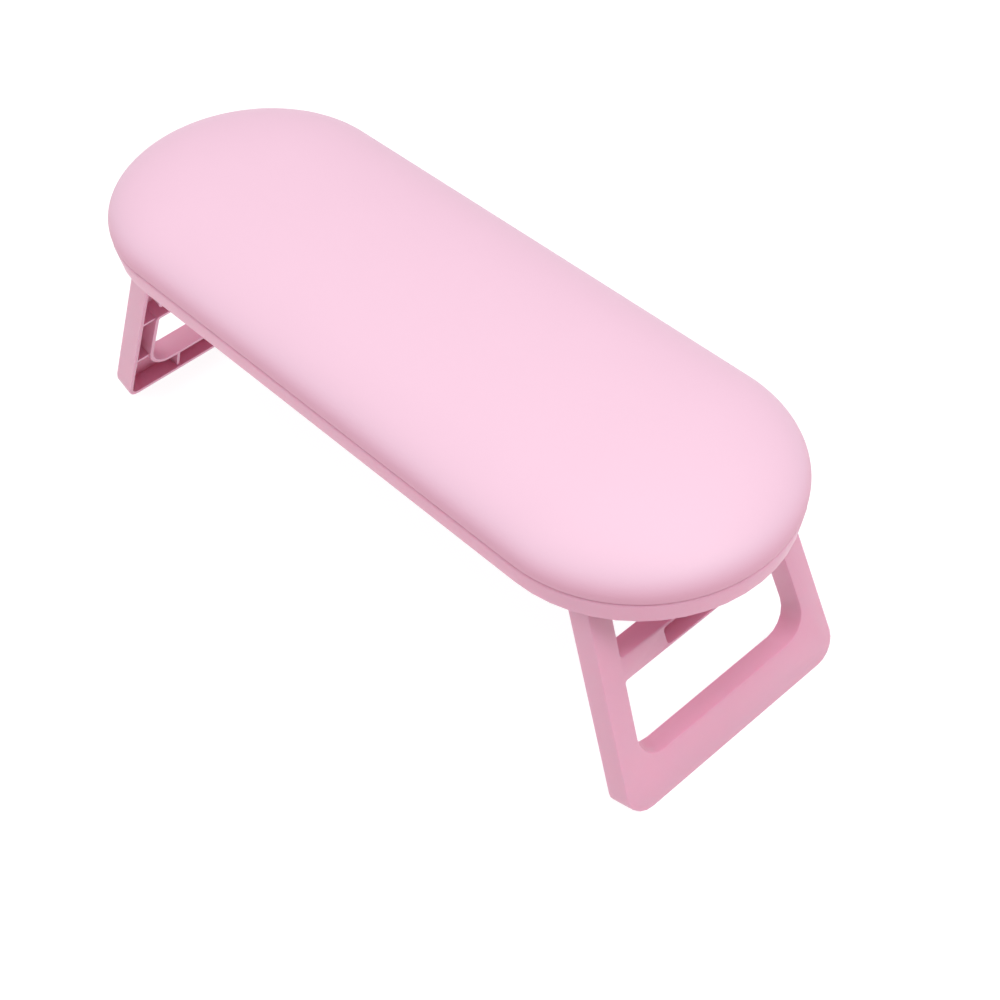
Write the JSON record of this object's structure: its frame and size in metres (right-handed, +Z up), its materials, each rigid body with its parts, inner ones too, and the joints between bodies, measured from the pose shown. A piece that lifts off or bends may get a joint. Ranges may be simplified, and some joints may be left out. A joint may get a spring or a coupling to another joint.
{
  "type": "manicure hand rest",
  "caption": "Padded leather hand rest for manicures, a long bar with round ends on a moulded tray, standing on splayed frame legs that fold in under the tray.",
  "frame": {"origin": "on the table under the middle of the rest, legs open", "axes": "+Z up, +X along the rest towards the leg with the name near_leg, +Y across it"},
  "size_m": [0.3, 0.107, 0.108],
  "materials": {
    "leather": "smooth satin synthetic leather, pale pink",
    "foam": "open-cell foam, off white",
    "fibreboard": "raw fibreboard",
    "plastic": "satin moulded plastic, dusty pink",
    "steel": "bright zinc"
  },
  "bodies": {
    "rest": {"cushion_cover": "leather", "foam_core": "foam", "backing_board": "fibreboard", "tray": "plastic", "hinge_pin_1": "steel", "hinge_pin_2": "steel", "hinge_pin_3": "steel", "hinge_pin_4": "steel", "tray_screw_1": "steel", "tray_screw_2": "steel", "tray_screw_3": "steel", "tray_screw_4": "steel", "tray_screw_5": "steel", "tray_screw_6": "steel"},
    "near_leg_frame": {"near_leg": "plastic"},
    "far_leg_frame": {"far_leg": "plastic"}
  },
  "joints": [
    {"name": "near_leg_fold", "type": "hinge", "parent": "rest", "child": "near_leg_frame", "pos_m": [0.1101, 0, 0.0825], "axis": [0, 1, 0], "range_deg": [0, 110]},
    {"name": "far_leg_fold", "type": "hinge", "parent": "rest", "child": "far_leg_frame", "pos_m": [-0.1101, 0, 0.0825], "axis": [0, -1, 0], "range_deg": [0, 110]}
  ]
}
